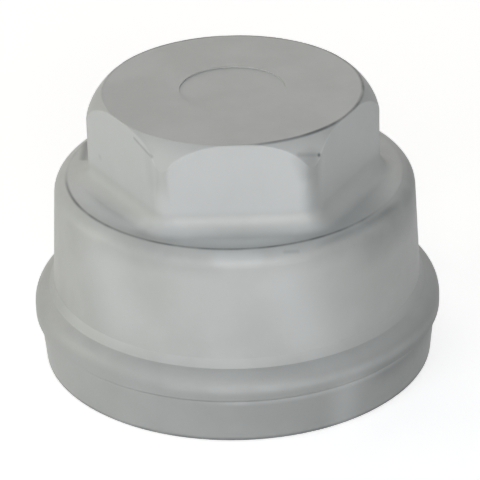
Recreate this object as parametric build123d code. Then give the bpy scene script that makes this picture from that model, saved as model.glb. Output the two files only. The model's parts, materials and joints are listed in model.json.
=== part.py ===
"""Hub grease cap: one hollow casting with a hexagon head, a round body, a bead and a threaded mouth."""
import os
from math import cos, hypot, radians, tan

from build123d import *

# Threaded mouth
THREAD_DIAMETER = 115.0
THREAD_LENGTH = 18.0
MOUTH_BEVEL = 1.2

# Skirt
SKIRT_WALL = 4.4
SKIRT_HEIGHT = 14.6
SKIRT_DRAFT = 5.5
FOOT_BEVEL = 0.6

# Bead
BEAD_REACH = 1.4
BEAD_UNDERSIDE = 45.0
BEAD_BAND = 6.4
BEAD_STEP = 6.2
BEAD_SLOPE = 25.0
BEAD_NOSE = 6.0
NOSE_SHARE = 0.6
BEAD_CROOK = 1.8

# Body and shoulder
BODY_HEIGHT = 35.2
BODY_DRAFT = 3.0
BODY_WALL = 4.5
SHOULDER_WIDTH = 3.8
SHOULDER_SLOPE = 17.5
SHOULDER_ROUND = 5.2
SHOULDER_SHARE = 0.95

# Hexagon head
ACROSS_FLATS = 81.0
HEAD_HEIGHT = 28.4
HEAD_WALL = 6.5
CORNER_ROUND = 7.0
CORNER_DROP = 11.0
BARREL_CLEARANCE = 0.2
DISC_OVER_FLATS = 0.1
FLARE = 5.0
LEDGE_LAND = 0.5

# Round recess in the top
RECESS_DIAMETER = 33.0
RECESS_DEPTH = 0.4

# Hollow
TOP_THICKNESS = 6.0
LEDGE_THICKNESS = 6.0
HOLLOW_BEVEL = 4.5

# Skirt and bead that follow
thread_radius = THREAD_DIAMETER / 2
foot_radius = thread_radius + SKIRT_WALL
skirt_radius = foot_radius + SKIRT_HEIGHT * tan(radians(SKIRT_DRAFT))
bead_radius = skirt_radius + BEAD_REACH
bead_low = SKIRT_HEIGHT + BEAD_REACH * tan(radians(BEAD_UNDERSIDE))
bead_high = bead_low + BEAD_BAND
bead_slope_length = BEAD_STEP / cos(radians(BEAD_SLOPE))

# Body and ledge that follow
body_radius = bead_radius - BEAD_STEP
body_foot = bead_high + BEAD_STEP * tan(radians(BEAD_SLOPE))
body_top = body_foot + BODY_HEIGHT
shoulder_radius = body_radius - BODY_HEIGHT * tan(radians(BODY_DRAFT))
ledge_radius = shoulder_radius - SHOULDER_WIDTH
ledge = body_top + SHOULDER_WIDTH * tan(radians(SHOULDER_SLOPE))

# Head that follows
top = ledge + HEAD_HEIGHT
flat_radius = ACROSS_FLATS / 2
corner_reach = (flat_radius - CORNER_ROUND) / cos(radians(30)) + CORNER_ROUND
disc_radius = flat_radius + DISC_OVER_FLATS
flare = min(FLARE, ledge_radius - LEDGE_LAND - corner_reach)


def rounding(wanted, run, turn):
    """Limits a rounding to the straight run beside its corner, which turns by so many degrees."""
    return min(wanted, run / tan(radians(turn / 2)))


def body_outside(height):
    """Gives the body's outer radius at a height."""
    return shoulder_radius + (body_top - height) * tan(radians(BODY_DRAFT))


def turned(corners):
    """Turns a half-section about the axis. A corner is a radius, a height and its cut, where it has one."""
    section = make_face(Polyline([(radius, 0, height) for radius, height, *_ in corners], close=True))
    for radius, height, *edge in corners:
        if edge:
            cut, size = edge
            corner = section.vertices().sort_by_distance((radius, 0, height))[0]
            section = cut(corner, size)
    return revolve(section, Axis.Z)


def round_body():
    """Makes the solid skirt, bead and body, up to the ledge."""
    nose = rounding(BEAD_NOSE, NOSE_SHARE * min(BEAD_BAND, bead_slope_length), 90 - BEAD_SLOPE)
    shoulder_run = SHOULDER_WIDTH / cos(radians(SHOULDER_SLOPE))
    shoulder = rounding(SHOULDER_ROUND, SHOULDER_SHARE * shoulder_run, 90 - SHOULDER_SLOPE - BODY_DRAFT)
    return turned([
        (0, 0),
        (foot_radius, 0, chamfer, FOOT_BEVEL),
        (skirt_radius, SKIRT_HEIGHT),
        (bead_radius, bead_low),
        (bead_radius, bead_high, fillet, nose),
        (body_radius, body_foot, chamfer, BEAD_CROOK),
        (shoulder_radius, body_top, fillet, shoulder),
        (ledge_radius, ledge),
        (0, ledge),
    ])


def hexagon_head():
    """Makes the solid hexagon that stands on the ledge, with its corners rounded over to the top disc."""
    outline = RegularPolygon(flat_radius, 6, major_radius=False)
    outline = fillet(outline.vertices(), CORNER_ROUND)
    prism = Pos(0, 0, ledge) * extrude(outline, HEAD_HEIGHT)
    barrel_radius = corner_reach + BARREL_CLEARANCE
    barrel_edge = (barrel_radius, 0, top - CORNER_DROP)
    disc_edge = (disc_radius, 0, top)
    bulge = TangentArc(barrel_edge, disc_edge, tangent=(0, 0, 1))
    sides = Polyline(disc_edge, (0, 0, top), (0, 0, ledge), (barrel_radius, 0, ledge), barrel_edge)
    return prism & revolve(make_face([bulge, sides]), Axis.Z)


def hollow():
    """Makes the space inside: threaded mouth, body and head."""
    ledge_inside = ledge - LEDGE_THICKNESS
    head_inside = top - TOP_THICKNESS
    body_bore = body_outside(ledge_inside) - BODY_WALL
    head_bore = flat_radius - HEAD_WALL
    return turned([
        (0, 0),
        (thread_radius + MOUTH_BEVEL, 0),
        (thread_radius, MOUTH_BEVEL),
        (thread_radius, THREAD_LENGTH),
        (body_bore, THREAD_LENGTH),
        (body_bore, ledge_inside, chamfer, HOLLOW_BEVEL),
        (head_bore, ledge_inside),
        (head_bore, head_inside),
        (0, head_inside),
    ])


def grease_cap():
    """Joins the head to the body, flares its foot onto the ledge and hollows the casting."""
    cap = round_body() + hexagon_head()
    on_ledge = cap.edges().filter_by_position(Axis.Z, ledge, ledge)
    outside = corner_reach + flare / 2
    head_foot = on_ledge.filter_by(lambda edge: hypot((edge @ 0.5).X, (edge @ 0.5).Y) < outside)
    cap = fillet(head_foot, flare)
    recess = Pos(0, 0, top - RECESS_DEPTH) * extrude(Circle(RECESS_DIAMETER / 2), RECESS_DEPTH)
    return cap - recess - hollow()


if __name__ == "__main__":
    os.makedirs("parts", exist_ok=True)
    export_step(grease_cap(), "parts/grease_cap.step")
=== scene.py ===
"""Scene for the hub grease cap: satin cast metal, the thread in its mouth, a pale studio and the camera."""
import json
import logging
from abc import ABC, abstractmethod
from dataclasses import dataclass, field
from enum import Enum
from math import atan, cos, radians, sin, tau
from typing import Any

import bmesh
import bpy
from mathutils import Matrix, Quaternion, Vector


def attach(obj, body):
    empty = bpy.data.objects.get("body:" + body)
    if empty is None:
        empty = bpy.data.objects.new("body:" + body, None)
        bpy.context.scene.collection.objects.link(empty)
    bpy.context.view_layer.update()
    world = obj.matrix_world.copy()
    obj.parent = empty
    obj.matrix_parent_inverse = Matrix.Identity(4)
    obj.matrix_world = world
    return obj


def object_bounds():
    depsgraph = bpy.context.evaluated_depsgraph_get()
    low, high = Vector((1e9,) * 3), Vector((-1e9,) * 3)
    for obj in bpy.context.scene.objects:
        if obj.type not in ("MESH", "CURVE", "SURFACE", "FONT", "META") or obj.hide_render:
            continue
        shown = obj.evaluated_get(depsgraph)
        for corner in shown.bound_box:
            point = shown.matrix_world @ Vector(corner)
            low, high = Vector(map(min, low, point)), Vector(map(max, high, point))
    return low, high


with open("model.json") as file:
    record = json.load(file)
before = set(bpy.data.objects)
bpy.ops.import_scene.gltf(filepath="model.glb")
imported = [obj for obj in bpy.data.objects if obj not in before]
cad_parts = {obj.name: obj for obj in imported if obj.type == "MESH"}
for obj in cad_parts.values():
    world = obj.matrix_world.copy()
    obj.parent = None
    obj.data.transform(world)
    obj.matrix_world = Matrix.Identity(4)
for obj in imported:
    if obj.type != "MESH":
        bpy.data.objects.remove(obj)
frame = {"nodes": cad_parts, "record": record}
CAD_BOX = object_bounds()

BODY = "root"
NODE = "grease_cap"
MM = 0.001
NOISE_DETAIL = 3.0
log = logging.getLogger(NODE)

Colour = tuple[float, float, float]
Point = tuple[float, float, float]
Socket = bpy.types.NodeSocket
Feed = Socket | float | tuple[float, ...]


class SocketKind(Enum):
    """What a group's socket carries."""

    VALUE = "NodeSocketFloat"
    VECTOR = "NodeSocketVector"


class Tone(Enum):
    """What a mark shows: soil and painted shade, which darken the metal, or bare metal and painted light,
    which lighten it.
    """

    SOIL_AND_SHADE = "soil"
    BARE_AND_LIGHT = "bare"


def rgba(colour: Colour) -> tuple[float, float, float, float]:
    """Gives a colour with full cover.

    Args:
        colour: The red, green and blue shares.

    Returns:
        The same colour with a fourth share of 1.
    """
    return (*colour, 1.0)


def heading(angle: float) -> Point:
    """Gives a level direction.

    Args:
        angle: The angle in degrees, 0 at the right and -90 in front.

    Returns:
        The direction, with length 1.
    """
    return (cos(radians(angle)), sin(radians(angle)), 0.0)


def direction(azimuth: float, elevation: float) -> Vector:
    """Gives the direction from the casting to a light or camera.

    Args:
        azimuth: The angle round the axis in degrees, 0 in front and 90 on the right.
        elevation: The angle above the floor in degrees.

    Returns:
        The direction, with length 1.
    """
    turn, rise = radians(azimuth), radians(elevation)
    return Vector((sin(turn) * cos(rise), -cos(turn) * cos(rise), sin(rise)))


@dataclass
class NodeBoard:
    """A node tree with short calls that add and link its nodes.

    Args:
        tree: The node tree to work on.
    """

    tree: bpy.types.NodeTree

    def add(self, kind: str, **settings: Any) -> bpy.types.Node:
        """Adds a node.

        Args:
            kind: The node's type.
            settings: Attributes to set on it.

        Returns:
            The new node.
        """
        node = self.tree.nodes.new(kind)
        for name, value in settings.items():
            setattr(node, name, value)
        return node

    def feed(self, socket: Socket, value: Feed) -> None:
        """Links an output to a socket, or sets the socket to a constant.

        Args:
            socket: The input to feed.
            value: An output socket, or the constant.
        """
        if isinstance(value, Socket):
            self.tree.links.new(value, socket)
        else:
            socket.default_value = value

    def math(self, operation: str, *values: Feed, clamp: bool = False) -> Socket:
        """Adds a sum on numbers.

        Args:
            operation: The sum's name.
            values: What it works on.
            clamp: Whether the result stays between 0 and 1.

        Returns:
            The result's socket.
        """
        node = self.add("ShaderNodeMath", operation=operation, use_clamp=clamp)
        for socket, value in zip(node.inputs, values):
            self.feed(socket, value)
        return node.outputs["Value"]

    def vector(self, operation: str, *values: Feed) -> bpy.types.Node:
        """Adds a sum on vectors.

        Args:
            operation: The sum's name.
            values: The vectors it works on.

        Returns:
            The node, whose outputs are Vector and Value.
        """
        node = self.add("ShaderNodeVectorMath", operation=operation)
        for socket, value in zip(node.inputs, values):
            self.feed(socket, value)
        return node

    def along(self, position: Socket, way: Point) -> Socket:
        """Gives how far a place lies along a direction.

        Args:
            position: The place on the casting, in millimetres.
            way: The direction.

        Returns:
            The socket of the distance.
        """
        return self.vector("DOT_PRODUCT", position, way).outputs["Value"]

    def height(self, position: Socket) -> Socket:
        """Gives a place's height above the foot.

        Args:
            position: The place on the casting, in millimetres.

        Returns:
            The socket of the height.
        """
        return self.along(position, (0.0, 0.0, 1.0))

    def radius(self, position: Socket) -> Socket:
        """Gives a place's distance from the axis.

        Args:
            position: The place on the casting, in millimetres.

        Returns:
            The socket of the distance.
        """
        level = self.vector("MULTIPLY", position, (1.0, 1.0, 0.0)).outputs["Vector"]
        return self.vector("LENGTH", level).outputs["Value"]

    def fade(self, value: Feed, start: Feed, end: Feed, low: float = 0.0, high: float = 1.0) -> Socket:
        """Adds a soft step from one value to another.

        Args:
            value: The number that drives the step.
            start: Where the step starts.
            end: Where it ends.
            low: The result up to the start.
            high: The result from the end on.

        Returns:
            The result's socket.
        """
        node = self.add("ShaderNodeMapRange", interpolation_type="SMOOTHSTEP")
        wanted = {"Value": value, "From Min": start, "From Max": end, "To Min": low, "To Max": high}
        for name, part in wanted.items():
            self.feed(node.inputs[name], part)
        return node.outputs["Result"]

    def noise(self, position: Socket, scale: Feed) -> Socket:
        """Adds a noise.

        Args:
            position: The place on the casting.
            scale: How many patches go into one unit of length.

        Returns:
            The noise's socket, from 0 to 1.
        """
        node = self.add("ShaderNodeTexNoise")
        self.feed(node.inputs["Vector"], position)
        self.feed(node.inputs["Scale"], scale)
        self.feed(node.inputs["Detail"], NOISE_DETAIL)
        return node.outputs["Fac"]

    def blend(self, factor: Feed, first: Feed, second: Feed) -> Socket:
        """Adds a mix of two colours.

        Args:
            factor: The second colour's share.
            first: The first colour.
            second: The second colour.

        Returns:
            The mixed colour's socket.
        """
        node = self.add("ShaderNodeMix", data_type="RGBA")
        colours = [socket for socket in node.inputs if socket.type == "RGBA"]
        self.feed(node.inputs["Factor"], factor)
        self.feed(colours[0], first)
        self.feed(colours[1], second)
        return next(socket for socket in node.outputs if socket.type == "RGBA")

    def effect(self, made: "Effect", **inputs: Feed) -> Socket:
        """Places a shared effect.

        Args:
            made: The effect.
            inputs: What each of its inputs gets.

        Returns:
            The effect's result.
        """
        node = self.add("ShaderNodeGroup", node_tree=made.tree())
        for name, value in inputs.items():
            self.feed(node.inputs[name], value)
        return node.outputs["Result"]


class Effect(ABC):
    """A surface effect that is built once as a node group, with named inputs and one result."""

    name: str
    inputs: dict[str, SocketKind]

    def tree(self) -> bpy.types.NodeTree:
        """Gives the effect's node group, which the first call builds.

        Returns:
            The group.
        """
        made = bpy.data.node_groups.get(self.name)
        return made if made else self.build()

    def build(self) -> bpy.types.NodeTree:
        """Builds the group's sockets and its nodes.

        Returns:
            The finished group.
        """
        tree = bpy.data.node_groups.new(self.name, "ShaderNodeTree")
        for name, kind in self.inputs.items():
            tree.interface.new_socket(name, in_out="INPUT", socket_type=kind.value)
        tree.interface.new_socket("Result", in_out="OUTPUT", socket_type=SocketKind.VALUE.value)
        board = NodeBoard(tree)
        given = board.add("NodeGroupInput").outputs
        result = self.wire(board, {name: given[name] for name in self.inputs})
        board.feed(board.add("NodeGroupOutput").inputs["Result"], result)
        return tree

    @abstractmethod
    def wire(self, board: NodeBoard, given: dict[str, Socket]) -> Socket:
        """Wires the effect.

        Args:
            board: The group's board.
            given: The group's inputs by name.

        Returns:
            The socket of the result.
        """


class CastGrain(Effect):
    """The fine, uneven skin of a casting, as a height from 0 to about 1.4."""

    name = "cast_grain"
    inputs = {"Position": SocketKind.VECTOR, "Scale": SocketKind.VALUE}
    coarse_scale = 0.25
    coarse_share = 0.4

    def wire(self, board: NodeBoard, given: dict[str, Socket]) -> Socket:
        """Adds a coarse noise to a fine one.

        Args:
            board: The group's board.
            given: The group's inputs by name.

        Returns:
            The socket of the height.
        """
        fine = board.noise(given["Position"], given["Scale"])
        scale = board.math("MULTIPLY", given["Scale"], self.coarse_scale)
        coarse = board.noise(given["Position"], scale)
        return board.math("MULTIPLY_ADD", coarse, self.coarse_share, fine)


class RingLine(Effect):
    """A soft line round the axis at one radius and height, as a mask from 0 to 1."""

    name = "ring_line"
    inputs = {
        "Position": SocketKind.VECTOR,
        "Radius": SocketKind.VALUE,
        "Height": SocketKind.VALUE,
        "Width": SocketKind.VALUE,
    }

    def wire(self, board: NodeBoard, given: dict[str, Socket]) -> Socket:
        """Fades the line with the distance from its circle.

        Args:
            board: The group's board.
            given: The group's inputs by name.

        Returns:
            The socket of the mask.
        """
        outwards = board.math("SUBTRACT", board.radius(given["Position"]), given["Radius"])
        upwards = board.math("SUBTRACT", board.height(given["Position"]), given["Height"])
        square = board.math("MULTIPLY_ADD", upwards, upwards, board.math("MULTIPLY", outwards, outwards))
        return board.fade(board.math("SQRT", square), 0.0, given["Width"], 1.0, 0.0)


class SegmentMask(Effect):
    """A soft mask along a straight line between two points, or round one point where they are the same, from
    0 to 1; it draws scratches, pits, and patches of painted light and painted shade.
    """

    name = "scratch"
    inputs = {
        "Position": SocketKind.VECTOR,
        "Start": SocketKind.VECTOR,
        "End": SocketKind.VECTOR,
        "Width": SocketKind.VALUE,
    }

    def wire(self, board: NodeBoard, given: dict[str, Socket]) -> Socket:
        """Fades the scratch with the distance from its line.

        Args:
            board: The group's board.
            given: The group's inputs by name.

        Returns:
            The socket of the mask.
        """
        away = board.vector("SUBTRACT", given["Position"], given["Start"]).outputs["Vector"]
        course = board.vector("SUBTRACT", given["End"], given["Start"]).outputs["Vector"]
        along = board.vector("DOT_PRODUCT", away, course).outputs["Value"]
        length_squared = board.vector("DOT_PRODUCT", course, course).outputs["Value"]
        share = board.math("DIVIDE", along, length_squared, clamp=True)
        scaled = board.vector("SCALE", course)
        board.feed(scaled.inputs["Scale"], share)
        distance = board.vector("DISTANCE", away, scaled.outputs["Vector"]).outputs["Value"]
        return board.fade(distance, 0.0, given["Width"], 1.0, 0.0)


class Mark(ABC):
    """A place where the metal is soiled or rubbed bare, or where shade or light is painted on it, by a share
    called depth.
    """

    depth: float
    tone: Tone

    @abstractmethod
    def mask(self, board: NodeBoard, position: Socket) -> Socket:
        """Adds the mark's mask.

        Args:
            board: The material's board.
            position: The place on the casting, in millimetres.

        Returns:
            The socket of the mask, from 0 to 1.
        """


@dataclass(frozen=True)
class Stretch:
    """The part of the casting's round where a mark is strong.

    Args:
        side: The direction of its middle in degrees, 0 at the right and -90 in front.
        start: Where along that direction the mark starts to get stronger, as a share of the radius.
        end: Where along that direction it is strongest, as a share of the radius.
        rest: How strong it is elsewhere, as a share of its full strength.
    """

    side: float
    start: float = -1.0
    end: float = 1.0
    rest: float = 0.0

    def share(self, board: NodeBoard, position: Socket, radius: float) -> Socket:
        """Adds the mark's strength round the casting.

        Args:
            board: The material's board.
            position: The place on the casting, in millimetres.
            radius: The mark's radius.

        Returns:
            The socket of the strength, from 0 to 1.
        """
        along = board.along(position, heading(self.side))
        return board.fade(along, self.start * radius, self.end * radius, self.rest, 1.0)


ALL_ROUND = Stretch(side=0.0, rest=1.0)


@dataclass(frozen=True)
class Ring(Mark):
    """A line round the casting that darkens or lightens the metal, in millimetres; the casting's rings are
    all painted shade or painted light.

    Args:
        radius: The line's radius.
        height: Its height above the foot.
        width: How far it fades to each side.
        depth: How strong it is, from 0 to 1.
        stretch: Where round the casting it is strong.
        patch_size: The size of its stronger and weaker patches.
        patch_range: The noise at which a patch is weakest and strongest.
        patch_share: How strong the weakest patch is, as a share of the strongest.
        tone: What it shows.
    """

    radius: float
    height: float
    width: float
    depth: float
    stretch: Stretch = ALL_ROUND
    patch_size: float = 9.0
    patch_range: tuple[float, float] = (0.3, 0.7)
    patch_share: float = 0.55
    tone: Tone = Tone.SOIL_AND_SHADE

    def mask(self, board: NodeBoard, position: Socket) -> Socket:
        """Adds the line with its patches and its strong stretch.

        Args:
            board: The material's board.
            position: The place on the casting, in millimetres.

        Returns:
            The socket of the mask.
        """
        line = board.effect(
            RingLine(), Position=position, Radius=self.radius, Height=self.height, Width=self.width
        )
        patches = board.noise(position, 1 / self.patch_size)
        patchy = board.fade(patches, *self.patch_range, self.patch_share, 1.0)
        strength = self.stretch.share(board, position, self.radius)
        return board.math("MULTIPLY", line, board.math("MULTIPLY", patchy, strength))


@dataclass(frozen=True)
class SegmentMark(Mark):
    """A pit, a scratch, or a soft patch of painted light or of painted shade, between two points, in
    millimetres.

    Args:
        start: One end.
        end: The other end.
        width: How far it fades to each side.
        depth: How strong it is, from 0 to 1.
        tone: What it shows.
    """

    start: Point
    end: Point
    width: float
    depth: float
    tone: Tone = Tone.SOIL_AND_SHADE

    def mask(self, board: NodeBoard, position: Socket) -> Socket:
        """Adds the pit, scratch or patch.

        Args:
            board: The material's board.
            position: The place on the casting, in millimetres.

        Returns:
            The socket of the mask.
        """
        return board.effect(SegmentMask(), Position=position, Start=self.start, End=self.end, Width=self.width)


@dataclass(frozen=True)
class BareAndLitFlats(Mark):
    """The hexagon's flats and upright edges, lighter as bare metal and as painted light, in millimetres.

    Args:
        flat_radius: The distance of the flats from the axis.
        foot: The height at which the lighter metal starts.
        full: The height from which it is at full strength.
        corners: The height at which it ends on the upright edges.
        top: The height at which it ends on the flats.
        feather: How far it fades at the flats' sides and top.
        depth: How much lighter it makes the metal, from 0 to 1.
        facings: The directions of three flats in degrees. The other three face the other way.
        tone: What it shows.
    """

    flat_radius: float
    foot: float
    full: float
    corners: float
    top: float
    feather: float
    depth: float
    facings: tuple[float, float, float] = (30.0, 90.0, 150.0)
    tone: Tone = Tone.BARE_AND_LIGHT

    def mask(self, board: NodeBoard, position: Socket) -> Socket:
        """Adds the flats.

        Args:
            board: The material's board.
            position: The place on the casting, in millimetres.

        Returns:
            The socket of the mask.
        """
        across = [board.math("ABSOLUTE", board.along(position, heading(angle))) for angle in self.facings]
        reach = board.math("MAXIMUM", across[0], board.math("MAXIMUM", across[1], across[2]))
        flats = board.fade(reach, self.flat_radius - self.feather, self.flat_radius)
        height = board.height(position)
        edges = board.fade(height, self.full, self.corners, 1.0, 0.0)
        sides = board.math("MAXIMUM", flats, edges)
        under_top = board.fade(height, self.top - self.feather, self.top, 1.0, 0.0)
        band = board.math("MULTIPLY", board.fade(height, self.foot, self.full), under_top)
        return board.math("MULTIPLY", sides, band)


@dataclass(frozen=True)
class PaintedFootShade(Mark):
    """Painted shade that darkens the bead and skirt towards the foot, in millimetres.

    Args:
        start: The height at which the painted shade begins.
        end: The height below which it is darkest.
        radius: The skirt's radius.
        stretch: Where round the casting it is darkest.
        depth: How dark it is, from 0 to 1.
        tone: What it shows.
    """

    start: float
    end: float
    radius: float
    stretch: Stretch
    depth: float
    tone: Tone = Tone.SOIL_AND_SHADE

    def mask(self, board: NodeBoard, position: Socket) -> Socket:
        """Adds the shade from its start down.

        Args:
            board: The material's board.
            position: The place on the casting, in millimetres.

        Returns:
            The socket of the mask.
        """
        low = board.fade(board.height(position), self.end, self.start, 1.0, 0.0)
        return board.math("MULTIPLY", low, self.stretch.share(board, position, self.radius))


@dataclass(frozen=True)
class CastMetal:
    """A satin cast metal with a fine grain, a cloudy tone and marks, which include painted shade and painted
    light.

    Args:
        name: The material's name.
        colour: The clean metal's colour.
        cloud_colour: The colour of its duller clouds.
        metallic: How metallic the surface is.
        roughness: The lowest and highest roughness.
        grain_size: The grain's size in millimetres.
        grain_height: The grain's height in millimetres.
        cloud_size: The clouds' size in millimetres.
        soil_and_shade_colour: The colour of soiled lines, pits and scratches, and of painted shade.
        bare_and_light_colour: The colour of metal that is rubbed bare, and of painted light.
        cloud_range: The noise at which a cloud starts and is full.
        grain_range: The grain's heights at which the roughness is lowest and highest.
    """

    name: str
    colour: Colour
    cloud_colour: Colour
    metallic: float
    roughness: tuple[float, float]
    grain_size: float
    grain_height: float
    cloud_size: float
    soil_and_shade_colour: Colour = (0.06, 0.07, 0.075)
    bare_and_light_colour: Colour = (0.66, 0.68, 0.685)
    cloud_range: tuple[float, float] = (0.35, 0.65)
    grain_range: tuple[float, float] = (0.3, 1.1)

    def tint(self, tone: Tone) -> Colour:
        """Gives the colour that a mark shows.

        Args:
            tone: What the mark shows.

        Returns:
            The colour.
        """
        return {Tone.SOIL_AND_SHADE: self.soil_and_shade_colour, Tone.BARE_AND_LIGHT: self.bare_and_light_colour}[tone]

    def material(self, marks: tuple[Mark, ...] = ()) -> bpy.types.Material:
        """Builds the material.

        Args:
            marks: Where the metal is soiled or rubbed bare, and where shade or light is painted on it.

        Returns:
            The material.
        """
        made = bpy.data.materials.new(self.name)
        made.use_nodes = True
        board = NodeBoard(made.node_tree)
        shader = made.node_tree.nodes["Principled BSDF"]
        place = board.vector("SCALE", board.add("ShaderNodeTexCoord").outputs["Object"])
        board.feed(place.inputs["Scale"], 1 / MM)
        position = place.outputs["Vector"]

        clouds = board.fade(board.noise(position, 1 / self.cloud_size), *self.cloud_range)
        colour = board.blend(clouds, rgba(self.colour), rgba(self.cloud_colour))
        for mark in marks:
            share = board.math("MULTIPLY", mark.mask(board, position), mark.depth)
            colour = board.blend(share, colour, rgba(self.tint(mark.tone)))
        board.feed(shader.inputs["Base Color"], colour)

        grain = board.effect(CastGrain(), Position=position, Scale=1 / self.grain_size)
        board.feed(shader.inputs["Roughness"], board.fade(grain, *self.grain_range, *self.roughness))
        board.feed(shader.inputs["Metallic"], self.metallic)

        bump = board.add("ShaderNodeBump")
        board.feed(bump.inputs["Distance"], MM)
        board.feed(bump.inputs["Height"], board.math("MULTIPLY", grain, self.grain_height))
        board.feed(shader.inputs["Normal"], bump.outputs["Normal"])
        return made


@dataclass
class Casting:
    """The casting itself, which keeps its own solid and gets its finish here, in millimetres.

    Args:
        foot_radius: The skirt's radius at its foot.
        skirt_radius: The skirt's radius under the bead.
        skirt_height: The skirt's height.
        bead_radius: The radius of the bead's nose.
        bead_nose: The height of the bead's nose.
        bead_top: The height at which the bead runs into the body.
        ledge_radius: The radius of the ledge's rim.
        ledge_height: The ledge's height.
        ledge_middle: The radius of the middle of the painted light on the ledge's front.
        rim_fall_radius: The radius just outside the ledge's rim.
        rim_fall_height: The height just below the ledge's rim.
        shoulder_radius: The radius of the shoulder's rounding.
        shoulder_height: The height of the shoulder's rounding.
        body_radius: The body's radius under the shoulder.
        body_height: The height at which the shoulder runs into the body.
        flat_radius: The distance of the hexagon's flats from the axis, and the top disc's radius.
        corner_drop: How far the hexagon's corners are rounded over, down from the top.
        flare: The radius of the flare at the hexagon's foot.
        top_height: The height of the top disc.
        flat_feather: How far the lighter metal fades at the flats' sides and top.
        flat_lightening: How much lighter the flats are, as bare metal and painted light, from 0 to 1.
        painted_highlights: Painted highlights, pale patches on the body, the skirt and the shoulder.
        painted_shade_on_edges: Painted shade on stretches of the two front upright edges and at the left
            one's foot.
        nicks_and_corner_shade: The pits and scratches, and painted shade where the hexagon's back-left corner
            meets the ledge.
        finish: The finish.
    """

    foot_radius: float = 61.9
    skirt_radius: float = 63.31
    skirt_height: float = 14.6
    bead_radius: float = 64.6
    bead_nose: float = 19.4
    bead_top: float = 28.0
    ledge_radius: float = 52.86
    ledge_height: float = 61.69
    ledge_middle: float = 48.0
    rim_fall_radius: float = 54.6
    rim_fall_height: float = 61.1
    shoulder_radius: float = 55.6
    shoulder_height: float = 58.8
    body_radius: float = 56.6
    body_height: float = 54.0
    flat_radius: float = 40.5
    corner_drop: float = 11.0
    flare: float = 5.0
    top_height: float = CAD_BOX[1].z / MM
    flat_feather: float = 0.4
    flat_lightening: float = 0.55
    # Painted highlights: pale patches on the body at the left front and the right front, low on the skirt at
    # the right front, and on the front of the shoulder.
    painted_highlights: tuple[SegmentMark, ...] = (
        SegmentMark(start=(-41.3, -40.3, 47.0), end=(-37.0, -44.4, 36.0), width=17.0, depth=0.45, tone=Tone.BARE_AND_LIGHT),
        SegmentMark(start=(14.0, -55.4, 50.0), end=(19.0, -54.2, 36.0), width=15.0, depth=0.5, tone=Tone.BARE_AND_LIGHT),
        SegmentMark(start=(31.0, -54.5, 13.0), end=(31.0, -54.0, 3.0), width=9.0, depth=0.3, tone=Tone.BARE_AND_LIGHT),
        SegmentMark(start=(-6.0, -54.9, 60.0), end=(4.0, -55.1, 60.0), width=4.5, depth=0.4, tone=Tone.BARE_AND_LIGHT),
    )
    # Painted shade on stretches of the two front upright edges and at the left one's foot.
    painted_shade_on_edges: tuple[SegmentMark, ...] = (
        SegmentMark(start=(-28.0, -36.0, 85.0), end=(-26.5, -37.2, 77.0), width=5.0, depth=0.1),
        SegmentMark(start=(-28.0, -40.5, 62.5), end=(-21.0, -43.5, 62.5), width=6.0, depth=0.15),
        SegmentMark(start=(19.0, -40.5, 84.5), end=(20.5, -40.4, 79.5), width=4.0, depth=0.15),
        SegmentMark(start=(22.6, -39.3, 84.0), end=(22.6, -39.3, 69.0), width=5.0, depth=0.3),
    )
    nicks_and_corner_shade: tuple[SegmentMark, ...] = (
        SegmentMark(start=(24.7, -37.4, 84.4), end=(24.7, -37.4, 84.4), width=1.0, depth=0.85),
        SegmentMark(start=(18.5, -39.9, 85.9), end=(23.5, -37.9, 84.7), width=1.2, depth=0.22),
        SegmentMark(start=(-30.6, -28.0, 87.6), end=(-25.4, -36.5, 85.3), width=0.8, depth=0.3),
        SegmentMark(start=(-41.7, -8.8, 72.3), end=(-41.7, -8.8, 72.3), width=1.6, depth=0.12),
        SegmentMark(start=(13.4, -53.5, 60.5), end=(17.3, -52.8, 60.1), width=1.1, depth=0.18),
        # Painted shade where the hexagon's back-left corner meets the ledge.
        SegmentMark(start=(-46.6, 23.5, 61.7), end=(-47.4, 12.0, 61.7), width=2.2, depth=0.45),
    )
    finish: CastMetal = CastMetal(
        name="satin_cast_metal",
        colour=(0.54, 0.555, 0.545),
        cloud_colour=(0.50, 0.515, 0.503),
        metallic=0.12,
        roughness=(0.48, 0.62),
        grain_size=0.7,
        grain_height=0.02,
        cloud_size=22.0,
    )

    def bare_and_lit_flats(self) -> BareAndLitFlats:
        """Gives the lighter flats of the hexagon, bare metal and painted light, which fade out over the flare
        at its foot.

        Returns:
            The mark.
        """
        flare_top = self.ledge_height + self.flare
        # The flats are lighter as bare metal and as painted light, brighter than the body that faces the same
        # way.
        return BareAndLitFlats(
            flat_radius=self.flat_radius,
            foot=flare_top - self.flare / 2,
            full=flare_top + self.flare / 2,
            corners=self.top_height - self.corner_drop,
            top=self.top_height,
            feather=self.flat_feather,
            depth=self.flat_lightening,
        )

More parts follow.
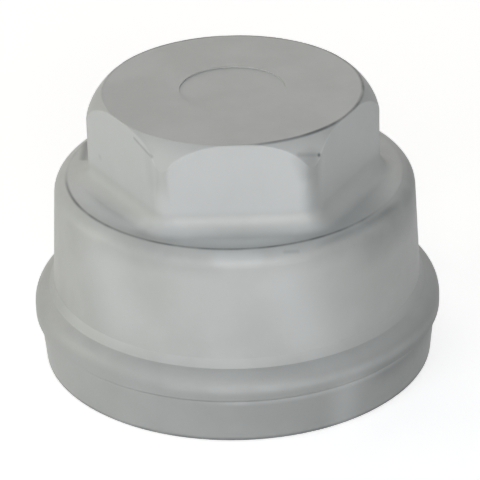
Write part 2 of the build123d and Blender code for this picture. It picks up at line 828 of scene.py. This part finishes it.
    def foot_marks(self) -> tuple[Mark, ...]:
        """Gives the painted shade on the skirt, along its foot and under the bead at the right, the painted
        light under the bead in front, and the painted highlight on the bead's nose.

        Returns:
            The marks.
        """
        under_bead = {"radius": self.skirt_radius, "height": self.skirt_height}
        return (
            # Painted shade: the bead and skirt darker towards the foot, darkest at the right front.
            PaintedFootShade(
                start=self.bead_top,
                end=self.bead_nose,
                radius=self.foot_radius,
                stretch=Stretch(side=-38.0, rest=0.4),
                depth=0.33,
            ),
            # Painted shade along the foot's edge where it meets the floor.
            Ring(radius=self.foot_radius, height=0.2, width=1.6, depth=0.9),
            # Painted light on the skirt just under the bead, at the front.
            Ring(
                **under_bead,
                width=1.8,
                depth=0.45,
                stretch=Stretch(side=-68.0, start=0.75, end=0.95),
                tone=Tone.BARE_AND_LIGHT,
            ),
            # Painted shade on the skirt under the bead, at the right.
            Ring(
                **under_bead,
                width=9.0,
                depth=0.3,
                stretch=Stretch(side=-25.0, start=0.87, end=0.94),
                patch_share=0.85,
            ),
            # Painted highlight on the bead's nose, at the front.
            Ring(
                radius=self.bead_radius,
                height=self.bead_nose,
                width=2.4,
                depth=0.35,
                stretch=Stretch(side=-70.0, start=0.6, end=0.95),
                tone=Tone.BARE_AND_LIGHT,
            ),
        )

    def ledge_marks(self) -> tuple[Mark, ...]:
        """Gives the painted light on the ledge's front and the painted shade on stretches of the rim, the
        shoulder and the body under it.

        Returns:
            The marks.
        """
        shoulder = {"radius": self.shoulder_radius, "height": self.shoulder_height}
        return (
            # Painted light on the ledge's front, towards the left.
            Ring(
                radius=self.ledge_middle,
                height=self.ledge_height,
                width=6.0,
                depth=0.95,
                stretch=Stretch(side=-115.0, start=0.4, end=0.85),
                patch_share=0.8,
                tone=Tone.BARE_AND_LIGHT,
            ),
            # Painted shade just outside and below the ledge's rim, at the right front.
            Ring(
                radius=self.rim_fall_radius,
                height=self.rim_fall_height,
                width=2.6,
                depth=0.32,
                stretch=Stretch(side=-45.0, start=0.93, end=0.985),
                patch_share=0.85,
            ),
            # Painted shade on the shoulder, towards the right.
            Ring(**shoulder, width=6.5, depth=0.24, stretch=Stretch(side=-20.0, start=0.45, end=0.9)),
            # Painted shade on the body under the shoulder, at the right.
            Ring(
                radius=self.body_radius,
                height=self.body_height,
                width=9.0,
                depth=0.28,
                stretch=Stretch(side=-25.0, start=0.85, end=0.97),
                patch_share=0.85,
            ),
            # Painted shade on the shoulder at the left front, which dims its highlight there.
            Ring(**shoulder, width=6.5, depth=0.2, stretch=Stretch(side=-118.0, start=0.93, end=0.99)),
        )

    def edge_marks(self) -> tuple[Mark, ...]:
        """Gives the painted shade lines along the ledge's rim and the top disc's edge.

        Returns:
            The marks.
        """
        disc_edge = {"radius": self.flat_radius, "height": self.top_height}
        return (
            # Painted shade line along the ledge's rim, strongest at the left front.
            Ring(
                radius=self.ledge_radius,
                height=self.ledge_height,
                width=0.85,
                depth=0.8,
                stretch=Stretch(side=-110.0, start=0.2, end=0.6, rest=0.1),
            ),
            # Painted shade line along the top disc's edge at the back and right.
            Ring(**disc_edge, width=0.9, depth=0.95, stretch=Stretch(side=40.0, end=0.2)),
            # Painted shade line along the top disc's edge at the right front.
            Ring(**disc_edge, width=1.0, depth=0.6, stretch=Stretch(side=-62.0, start=0.92, end=0.98)),
        )

    def dress(self) -> bpy.types.Object:
        """Gives the solid its finish.

        Returns:
            The dressed solid.
        """
        casting = frame["nodes"][NODE]
        rings = (*self.foot_marks(), *self.ledge_marks(), *self.edge_marks())
        marks = (self.bare_and_lit_flats(), *rings, *self.painted_highlights, *self.painted_shade_on_edges, *self.nicks_and_corner_shade)
        casting.data.materials.clear()
        casting.data.materials.append(self.finish.material(marks))
        return casting


@dataclass
class MouthThread:
    """The right-hand thread inside the mouth, a ridge that winds up from the foot, in millimetres.

    Args:
        pitch: How far it rises in one turn.
        depth: How far the ridge stands out from the bore.
        root_width: The ridge's width at the bore.
        crest_width: The ridge's width at its crest.
        bedding: How far the ridge reaches into the wall.
        margin: The plain stretch of the bore at each end.
        fade_turns: How many turns the ridge takes to rise to its full depth.
        steps_per_turn: How many steps make one turn.
        finish: The finish.
        mount: The record's threaded hole, which gives its place, radius and length.
    """

    pitch: float = 2.0
    depth: float = 1.1
    root_width: float = 1.75
    crest_width: float = 0.35
    bedding: float = 0.1
    margin: float = 1.0
    fade_turns: float = 0.5
    steps_per_turn: int = 120
    finish: CastMetal = CastMetal(
        name="cut_thread_metal",
        colour=(0.64, 0.65, 0.64),
        cloud_colour=(0.58, 0.59, 0.58),
        metallic=0.6,
        roughness=(0.30, 0.42),
        grain_size=0.3,
        grain_height=0.01,
        cloud_size=12.0,
    )
    mount: dict[str, Any] = field(
        default_factory=lambda: next(m for m in frame["record"]["mounts"] if m["name"] == "thread")
    )

    def section(self, turn: float, turns: float) -> list[Vector]:
        """Gives the ridge's section at one place of its winding.

        Args:
            turn: How many turns up the winding the section is.
            turns: How many turns the winding has.

        Returns:
            The section's four corners, in metres.
        """
        wall = self.mount["dims"]["r_mm"]
        low = self.mount["pos_m"][2] / MM - self.mount["dims"]["length_mm"] / 2 + self.margin
        growth = min(1.0, turn / self.fade_turns, (turns - turn) / self.fade_turns)
        crest = wall - self.depth * growth
        height = low + turn * self.pitch
        corners = (
            (wall + self.bedding, -self.root_width / 2),
            (crest, -self.crest_width / 2),
            (crest, self.crest_width / 2),
            (wall + self.bedding, self.root_width / 2),
        )
        angle = turn * tau
        return [
            Vector((radius * cos(angle), radius * sin(angle), height + rise)) * MM for radius, rise in corners
        ]

    def build(self) -> bpy.types.Object:
        """Winds the ridge and gives it its finish.

        Returns:
            The thread's object.
        """
        turns = (self.mount["dims"]["length_mm"] - 2 * self.margin) / self.pitch
        steps = round(turns * self.steps_per_turn)
        mesh = bmesh.new()
        rows = [
            [mesh.verts.new(corner) for corner in self.section(turns * step / steps, turns)]
            for step in range(steps + 1)
        ]
        for row, following in zip(rows, rows[1:]):
            for side in range(len(row)):
                after = (side + 1) % len(row)
                mesh.faces.new((row[side], row[after], following[after], following[side]))
        mesh.faces.new(rows[0])
        mesh.faces.new(rows[-1])
        bmesh.ops.recalc_face_normals(mesh, faces=mesh.faces)
        data = bpy.data.meshes.new("mouth_thread")
        mesh.to_mesh(data)
        mesh.free()
        data.materials.append(self.finish.material())
        thread = bpy.data.objects.new("mouth_thread", data)
        bpy.context.scene.collection.objects.link(thread)
        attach(thread, BODY)
        return thread


@dataclass(frozen=True)
class SoftLight:
    """A square soft light that faces the casting.

    Args:
        name: The light's name.
        azimuth: Its direction round the axis in degrees, 0 in front and 90 on the right.
        elevation: Its direction above the floor in degrees.
        power: Its power in watts.
        colour: Its colour.
        size: Its side in metres.
        distance: Its distance from the casting in metres.
    """

    name: str
    azimuth: float
    elevation: float
    power: float
    colour: Colour
    size: float
    distance: float = 1.2

    def place(self, aim: Vector) -> bpy.types.Object:
        """Hangs the light.

        Args:
            aim: The point it faces.

        Returns:
            The light's object.
        """
        lamp = bpy.data.lights.new(self.name, "AREA")
        lamp.energy = self.power
        lamp.color = self.colour
        lamp.size = self.size
        light = bpy.data.objects.new(self.name, lamp)
        away = direction(self.azimuth, self.elevation)
        light.location = aim + away * self.distance
        light.rotation_mode = "QUATERNION"
        light.rotation_quaternion = (-away).to_track_quat("-Z", "Y")
        bpy.context.scene.collection.objects.link(light)
        return light


LIGHTS = (
    SoftLight(
        "front_light", azimuth=8.0, elevation=14.0, power=6.4, colour=(1.0, 1.0, 1.0), size=0.7
    ),
    SoftLight(
        "left_light", azimuth=-36.0, elevation=14.0, power=2.7, colour=(0.97, 0.96, 1.0), size=0.6
    ),
    SoftLight(
        "side_light", azimuth=-92.0, elevation=14.0, power=3.2, colour=(1.0, 0.99, 0.84), size=0.7
    ),
    SoftLight(
        "back_left_light", azimuth=-148.0, elevation=35.0, power=1.9, colour=(1.0, 0.90, 0.80), size=0.8
    ),
    SoftLight(
        "back_right_light", azimuth=172.0, elevation=28.0, power=1.8, colour=(1.0, 0.94, 0.86), size=0.8
    ),
    SoftLight(
        "top_light", azimuth=0.0, elevation=85.0, power=1.45, colour=(0.78, 0.89, 1.0), size=0.8
    ),
)


@dataclass
class Studio:
    """The pale floor, the white surroundings and the soft lights.

    Args:
        floor_side: The floor's side in metres.
        floor_gap: How far the floor lies under the foot in metres.
        floor_colour: The floor's colour.
        floor_lift: How much the floor is lifted towards white for the eye.
        ambient: The colour of the soft light from all round.
        white: The colour that the surroundings show.
        lights: The soft lights.
    """

    floor_side: float = 8.0
    floor_gap: float = 0.2 * MM
    floor_colour: Colour = (0.80, 0.80, 0.80)
    floor_lift: float = 0.7
    ambient: Colour = (0.02, 0.02, 0.02)
    white: Colour = (1.0, 1.0, 1.0)
    lights: tuple[SoftLight, ...] = LIGHTS

    def seen(self, board: NodeBoard) -> Socket:
        """Tells the rays that show the surroundings from those that only light the casting.

        Args:
            board: The board of a floor or world.

        Returns:
            A socket that is 1 for rays that show the surroundings.
        """
        path = board.add("ShaderNodeLightPath").outputs
        shown = board.math("MAXIMUM", path["Is Camera Ray"], path["Is Glossy Ray"])
        return board.math("MAXIMUM", shown, path["Is Transmission Ray"])

    def floor(self) -> bpy.types.Object:
        """Lays the floor, which looks white and keeps the casting's shadow.

        Returns:
            The floor's object.
        """
        made = bpy.data.materials.new("pale_floor")
        made.use_nodes = True
        board = NodeBoard(made.node_tree)
        shader = made.node_tree.nodes["Principled BSDF"]
        board.feed(shader.inputs["Base Color"], rgba(self.floor_colour))
        board.feed(shader.inputs["Roughness"], 1.0)
        board.feed(shader.inputs["Specular IOR Level"], 0.0)
        board.feed(shader.inputs["Emission Color"], rgba(self.white))
        lift = board.math("MULTIPLY", self.seen(board), self.floor_lift)
        board.feed(shader.inputs["Emission Strength"], lift)
        mesh = bmesh.new()
        bmesh.ops.create_grid(mesh, x_segments=1, y_segments=1, size=self.floor_side / 2)
        data = bpy.data.meshes.new("floor")
        mesh.to_mesh(data)
        mesh.free()
        data.materials.append(made)
        floor = bpy.data.objects.new("floor", data)
        floor.location.z = CAD_BOX[0].z - self.floor_gap
        bpy.context.scene.collection.objects.link(floor)
        return floor

    def world(self) -> bpy.types.World:
        """Sets the surroundings, white to look at and a soft ambient light for the casting.

        Returns:
            The world.
        """
        world = bpy.data.worlds.new("surroundings")
        world.use_nodes = True
        board = NodeBoard(world.node_tree)
        colour = board.blend(self.seen(board), rgba(self.ambient), rgba(self.white))
        board.feed(world.node_tree.nodes["Background"].inputs["Color"], colour)
        bpy.context.scene.world = world
        return world

    def build(self) -> None:
        """Builds the floor, the surroundings and the lights."""
        self.floor()
        self.world()
        aim = (CAD_BOX[0] + CAD_BOX[1]) / 2
        for light in self.lights:
            light.place(aim)


@dataclass
class PhotoCamera:
    """The camera at the photograph's viewing angle.

    Args:
        image_side: The image's side in pixels.
        focal_pixels: The focal length in pixels.
        sensor: The sensor's side in millimetres.
        distance: The distance from the middle of the foot in metres.
        azimuth: The direction round the axis in degrees, 0 in front and 90 on the right.
        elevation: The direction above the floor in degrees.
        roll: How far the camera is turned about its own axis in degrees.
        foot_pixel: The pixel of the middle of the foot, from the left and the top.
    """

    image_side: float = 480.0
    focal_pixels: float = 3000.0
    sensor: float = 36.0
    distance: float = 0.9722
    azimuth: float = -1.23
    elevation: float = 29.65
    roll: float = 1.44
    foot_pixel: tuple[float, float] = (238.6, 341.0)

    def build(self) -> bpy.types.Object:
        """Places the camera so that the middle of the foot falls on its pixel.

        Returns:
            The camera's object.
        """
        data = bpy.data.cameras.new("photo_camera")
        data.sensor_width = self.sensor
        data.lens = self.focal_pixels / self.image_side * self.sensor
        camera = bpy.data.objects.new("photo_camera", data)
        away = direction(self.azimuth, self.elevation)
        middle = self.image_side / 2
        pan = atan((self.foot_pixel[0] - middle) / self.focal_pixels)
        tilt = atan((self.foot_pixel[1] - middle) / self.focal_pixels)
        aim = (-away).to_track_quat("-Z", "Y")
        aim = aim @ Quaternion((0.0, 0.0, 1.0), -radians(self.roll))
        aim = aim @ Quaternion((1.0, 0.0, 0.0), tilt) @ Quaternion((0.0, 1.0, 0.0), pan)
        camera.location = away * self.distance
        camera.rotation_mode = "QUATERNION"
        camera.rotation_quaternion = aim
        bpy.context.scene.collection.objects.link(camera)
        bpy.context.scene.camera = camera
        return camera


def main() -> None:
    """Builds the casting, its thread, the studio and the camera."""
    logging.basicConfig(level=logging.INFO)
    bpy.context.scene.view_settings.view_transform = "Standard"
    for piece in (Casting().dress(), MouthThread().build()):
        log.info("piece %s has %d faces", piece.name, len(piece.data.polygons))
    Studio().build()
    PhotoCamera().build()


if __name__ == "__main__":
    main()
